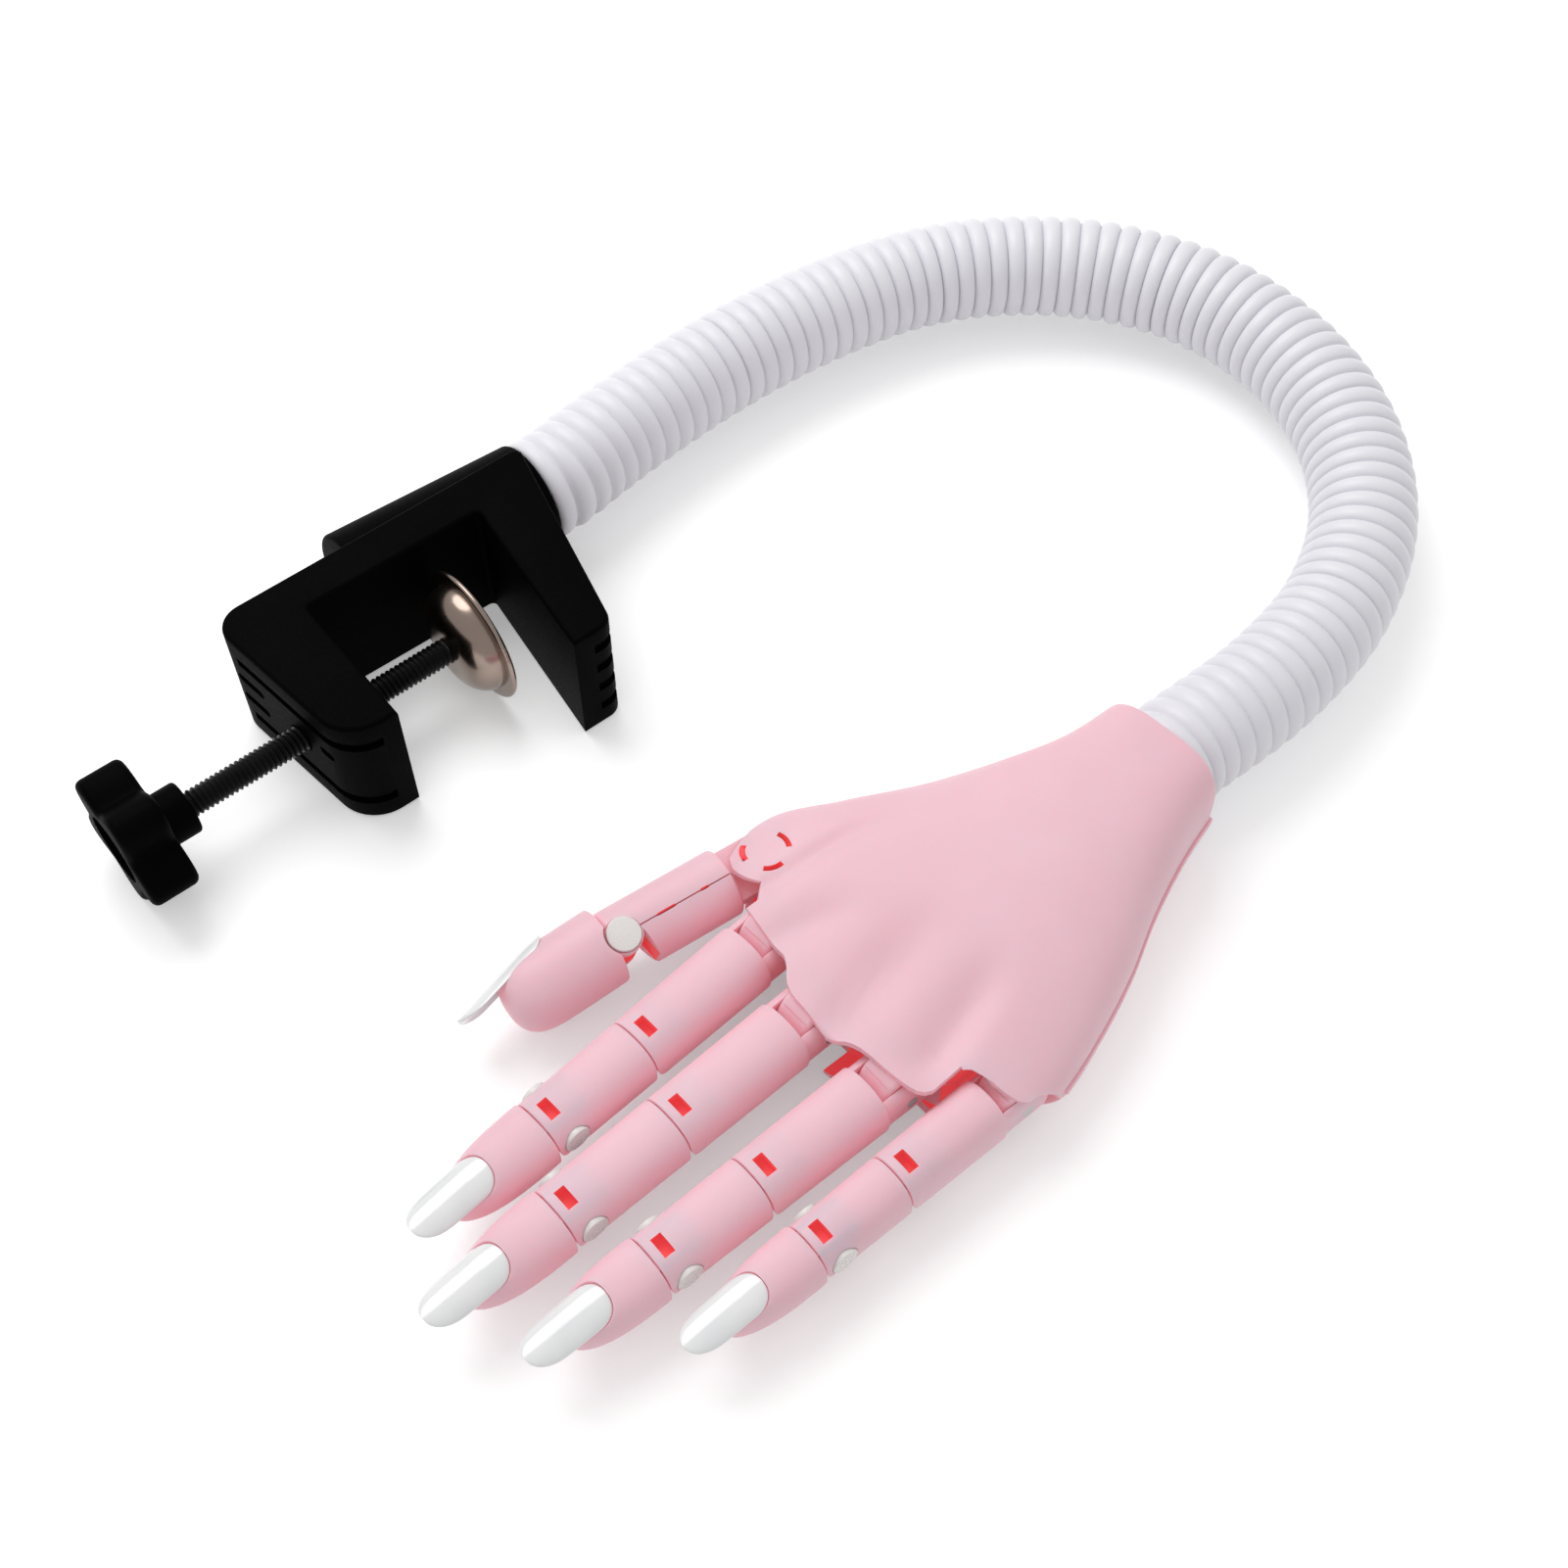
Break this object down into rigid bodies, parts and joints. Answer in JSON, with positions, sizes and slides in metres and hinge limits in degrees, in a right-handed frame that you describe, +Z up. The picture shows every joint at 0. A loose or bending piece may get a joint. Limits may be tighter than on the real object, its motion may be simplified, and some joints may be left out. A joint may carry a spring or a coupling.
{
  "type": "nail practice hand",
  "caption": "Jointed practice hand with slide-in nails on a ribbed gooseneck, with a screw clamp for a table edge.",
  "frame": {"origin": "on the table, under the middle of the object's box", "axes": "the fingers point along -X, +Z is up from the table through the back of the hand, the clamp is on the +Y side"},
  "size_m": [0.3226, 0.2086, 0.033],
  "materials": {
    "pink_plastic": "satin moulded",
    "black_plastic": "satin moulded",
    "white_plastic": "satin moulded",
    "white_hose": "satin flexible",
    "nail_white": "gloss",
    "pad_steel": "bright nickel plate",
    "black_steel": "black oxide",
    "plain_steel": "plain",
    "link_aluminium": "plain"
  },
  "bodies": {
    "clamp": {"clamp_body": "black_plastic", "clamp_nut": "plain_steel", "neck_link_1": "link_aluminium", "sleeve_section_1": "white_hose"},
    "pad": {"pad": "pad_steel"},
    "screw": {"clamp_screw": "black_steel", "pad_ball": "plain_steel", "knob": "black_plastic"},
    "link_2": {"neck_link_2": "link_aluminium", "sleeve_section_2": "white_hose"},
    "link_3": {"neck_link_3": "link_aluminium", "sleeve_section_3": "white_hose"},
    "link_4": {"neck_link_4": "link_aluminium", "sleeve_section_4": "white_hose"},
    "link_5": {"neck_link_5": "link_aluminium", "sleeve_section_5": "white_hose"},
    "link_6": {"neck_link_6": "link_aluminium", "sleeve_section_6": "white_hose"},
    "hand": {"palm_upper_shell": "pink_plastic", "palm_lower_shell": "pink_plastic", "palm_screw_1": "plain_steel", "palm_screw_2": "plain_steel", "palm_screw_3": "plain_steel", "thumb_base_pin": "plain_steel", "neck_link_7": "link_aluminium", "sleeve_section_7": "white_hose"},
    "index_base": {"index_knuckle_pin": "plain_steel", "index_proximal": "pink_plastic", "index_middle_pin": "plain_steel"},
    "index_mid": {"index_middle": "pink_plastic", "index_tip_pin": "white_plastic"},
    "index_end": {"index_distal": "pink_plastic"},
    "index_false_nail": {"index_nail": "nail_white"},
    "middle_base": {"middle_knuckle_pin": "plain_steel", "middle_proximal": "pink_plastic", "middle_middle_pin": "plain_steel"},
    "middle_mid": {"middle_middle": "pink_plastic", "middle_tip_pin": "white_plastic"},
    "middle_end": {"middle_distal": "pink_plastic"},
    "middle_false_nail": {"middle_nail": "nail_white"},
    "ring_base": {"ring_knuckle_pin": "plain_steel", "ring_proximal": "pink_plastic", "ring_middle_pin": "plain_steel"},
    "ring_mid": {"ring_middle": "pink_plastic", "ring_tip_pin": "white_plastic"},
    "ring_end": {"ring_distal": "pink_plastic"},
    "ring_false_nail": {"ring_nail": "nail_white"},
    "little_base": {"little_knuckle_pin": "plain_steel", "little_proximal": "pink_plastic", "little_middle_pin": "plain_steel"},
    "little_mid": {"little_middle": "pink_plastic", "little_tip_pin": "white_plastic"},
    "little_end": {"little_distal": "pink_plastic"},
    "little_false_nail": {"little_nail": "nail_white"},
    "thumb_base": {"thumb_proximal_outer": "pink_plastic", "thumb_proximal_inner": "pink_plastic", "thumb_tip_pin": "white_plastic"},
    "thumb_end": {"thumb_distal": "pink_plastic"},
    "thumb_false_nail": {"thumb_nail": "nail_white"}
  },
  "joints": [
    {"name": "screw_turn", "type": "hinge", "parent": "pad", "child": "screw", "pos_m": [-0.09724, 0.0667, 0.0165], "axis": [0.9945, -0.1045, 0], "range_deg": [-5420, 2720]},
    {"name": "pad_slide", "type": "slide", "parent": "clamp", "child": "pad", "axis": [0.9945, -0.1045, 0], "range_m": [-0.018, 0.009]},
    {"name": "neck_bend_1", "type": "hinge", "parent": "clamp", "child": "link_2", "pos_m": [0.01577, 0.08481, 0.0165], "axis": [0, 0, 1], "range_deg": [-20, 25], "deforming": ["sleeve_section_1", "sleeve_section_2"]},
    {"name": "neck_lift_2", "type": "hinge", "parent": "link_2", "child": "link_3", "pos_m": [0.0768, 0.07877, 0.0165], "axis": [0.2966, 0.955, 0], "range_deg": [-25, 25], "deforming": ["sleeve_section_2", "sleeve_section_3"]},
    {"name": "neck_bend_3", "type": "hinge", "parent": "link_3", "child": "link_4", "pos_m": [0.12959, 0.04946, 0.0165], "axis": [0, 0, -1], "range_deg": [-25, 12], "deforming": ["sleeve_section_3", "sleeve_section_4"]},
    {"name": "neck_lift_4", "type": "hinge", "parent": "link_4", "child": "link_5", "pos_m": [0.14827, -0.00708, 0.0165], "axis": [-0.9939, 0.1106, 0], "range_deg": [-25, 25], "deforming": ["sleeve_section_4", "sleeve_section_5"]},
    {"name": "neck_bend_5", "type": "hinge", "parent": "link_5", "child": "link_6", "pos_m": [0.1176, -0.05828, 0.0165], "axis": [0, 0, 1], "range_deg": [-12, 25], "deforming": ["sleeve_section_5", "sleeve_section_6"]},
    {"name": "neck_lift_6", "type": "hinge", "parent": "link_6", "child": "hand", "pos_m": [0.05895, -0.07244, 0.0165], "axis": [0.0945, -0.9955, 0], "range_deg": [-25, 25], "deforming": ["sleeve_section_6", "sleeve_section_7"]},
    {"name": "index_knuckle", "type": "hinge", "parent": "hand", "child": "index_base", "pos_m": [-0.0587, -0.039, 0.0125], "axis": [-0.014, -0.9999, 0], "range_deg": [-10, 70]},
    {"name": "index_middle_joint", "type": "hinge", "parent": "index_base", "child": "index_mid", "pos_m": [-0.09129, -0.03854, 0.0133], "axis": [-0.014, -0.9999, 0], "range_deg": [0, 78]},
    {"name": "index_tip_joint", "type": "hinge", "parent": "index_mid", "child": "index_end", "pos_m": [-0.11649, -0.03819, 0.0133], "axis": [-0.014, -0.9999, 0], "range_deg": [0, 60]},
    {"name": "index_nail_slide", "type": "slide", "parent": "index_end", "child": "index_false_nail", "axis": [-0.9961, 0.0139, -0.0872], "range_m": [0, 0.006]},
    {"name": "middle_knuckle", "type": "hinge", "parent": "hand", "child": "middle_base", "pos_m": [-0.06572, -0.0573, 0.0125], "axis": [-0.0506, -0.9987, 0], "range_deg": [-10, 70]},
    {"name": "middle_middle_joint", "type": "hinge", "parent": "middle_base", "child": "middle_mid", "pos_m": [-0.09818, -0.05565, 0.0133], "axis": [-0.0506, -0.9987, 0], "range_deg": [0, 78]},
    {"name": "middle_tip_joint", "type": "hinge", "parent": "middle_mid", "child": "middle_end", "pos_m": [-0.12625, -0.05423, 0.0133], "axis": [-0.0506, -0.9987, 0], "range_deg": [0, 60]},
    {"name": "middle_nail_slide", "type": "slide", "parent": "middle_end", "child": "middle_false_nail", "axis": [-0.9949, 0.0504, -0.0872], "range_m": [0, 0.006]},
    {"name": "ring_knuckle", "type": "hinge", "parent": "hand", "child": "ring_base", "pos_m": [-0.06436, -0.0786, 0.0125], "axis": [-0.0837, -0.9965, 0], "range_deg": [-10, 70]},
    {"name": "ring_middle_joint", "type": "hinge", "parent": "ring_base", "child": "ring_mid", "pos_m": [-0.09535, -0.07599, 0.0133], "axis": [-0.0837, -0.9965, 0], "range_deg": [0, 78]},
    {"name": "ring_tip_joint", "type": "hinge", "parent": "ring_mid", "child": "ring_end", "pos_m": [-0.11986, -0.07394, 0.0133], "axis": [-0.0837, -0.9965, 0], "range_deg": [0, 60]},
    {"name": "ring_nail_slide", "type": "slide", "parent": "ring_end", "child": "ring_false_nail", "axis": [-0.9927, 0.0834, -0.0872], "range_m": [0, 0.006]},
    {"name": "little_knuckle", "type": "hinge", "parent": "hand", "child": "little_base", "pos_m": [-0.04962, -0.0966, 0.0125], "axis": [-0.0819, -0.9966, 0], "range_deg": [-10, 70]},
    {"name": "little_middle_joint", "type": "hinge", "parent": "little_base", "child": "little_mid", "pos_m": [-0.07593, -0.09443, 0.0133], "axis": [-0.0819, -0.9966, 0], "range_deg": [0, 78]},
    {"name": "little_tip_joint", "type": "hinge", "parent": "little_mid", "child": "little_end", "pos_m": [-0.09726, -0.09268, 0.0133], "axis": [-0.0819, -0.9966, 0], "range_deg": [0, 60]},
    {"name": "little_nail_slide", "type": "slide", "parent": "little_end", "child": "little_false_nail", "axis": [-0.9928, 0.0816, -0.0872], "range_m": [0, 0.006]},
    {"name": "thumb_base_joint", "type": "hinge", "parent": "hand", "child": "thumb_base", "pos_m": [-0.04728, -0.0236, 0.0112], "axis": [-0.0653, -0.3357, 0.9397], "range_deg": [-30, 4]},
    {"name": "thumb_tip_joint", "type": "hinge", "parent": "thumb_base", "child": "thumb_end", "pos_m": [-0.08046, -0.01715, 0.0112], "axis": [-0.0653, -0.3357, 0.9397], "range_deg": [0, 10]},
    {"name": "thumb_nail_slide", "type": "slide", "parent": "thumb_end", "child": "thumb_false_nail", "axis": [-0.9978, 0.0359, -0.0565], "range_m": [0, 0.006]}
  ],
  "couplings": [
    {"joint": "screw_turn", "follows": "pad_slide", "rad_per_m": 5236}
  ]
}
